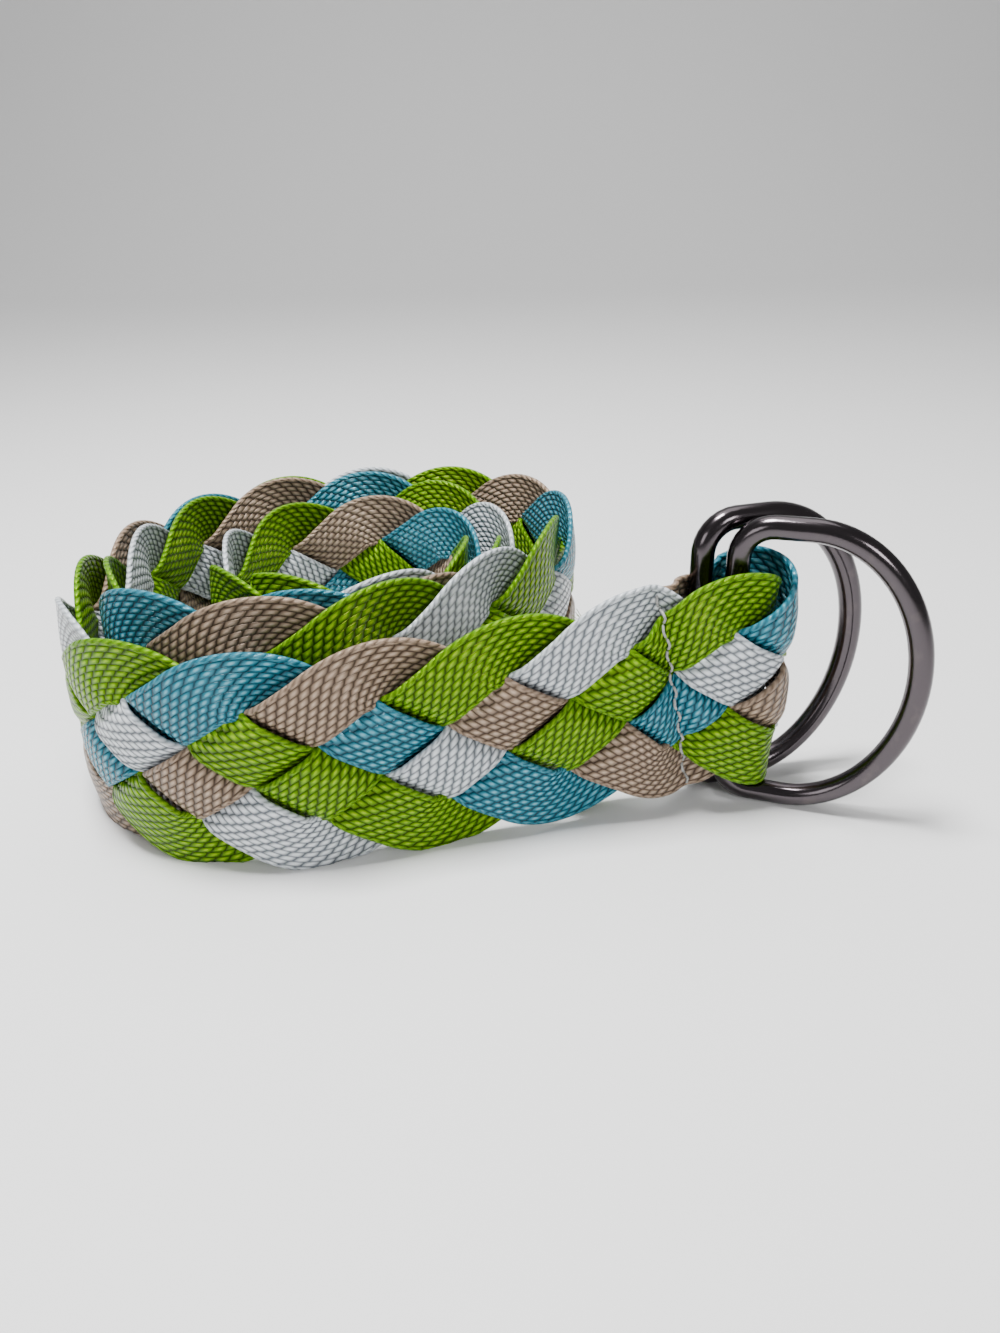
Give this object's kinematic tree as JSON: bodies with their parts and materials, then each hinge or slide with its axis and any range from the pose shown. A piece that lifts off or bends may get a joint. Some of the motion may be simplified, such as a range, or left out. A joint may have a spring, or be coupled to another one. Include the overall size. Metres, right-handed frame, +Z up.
{
  "type": "braided belt",
  "caption": "Flat braided webbing belt rolled up on its edge, its end folded and sewn round a pair of D-rings.",
  "frame": {"origin": "middle of the whole part's box in plan, on the surface that the belt stands on", "axes": "+X from the coil towards the rings, +Y to the back as the belt is seen, +Z up across the belt's width"},
  "size_m": [0.167, 0.1142, 0.0595],
  "materials": {
    "white_webbing": "shiny woven webbing",
    "lime_webbing": "shiny woven webbing",
    "tan_webbing": "shiny woven webbing",
    "blue_webbing": "shiny woven webbing",
    "gunmetal": "dark gunmetal plating, polished"
  },
  "bodies": {
    "belt": {"strip_white": "white_webbing", "strip_lime_outer": "lime_webbing", "strip_tan": "tan_webbing", "strip_blue": "blue_webbing", "strip_lime_inner": "lime_webbing"},
    "front_ring": {"d_ring_front": "gunmetal"},
    "rear_ring": {"d_ring_rear": "gunmetal"}
  },
  "joints": [
    {"name": "front_ring_swing", "type": "hinge", "parent": "belt", "child": "front_ring", "pos_m": [0.04964, -0.03394, 0.0298], "axis": [0, 0, -1], "range_deg": [-15, 120]},
    {"name": "rear_ring_swing", "type": "hinge", "parent": "belt", "child": "rear_ring", "pos_m": [0.04357, -0.03155, 0.0298], "axis": [0, 0, 1], "range_deg": [-3, 110]}
  ]
}
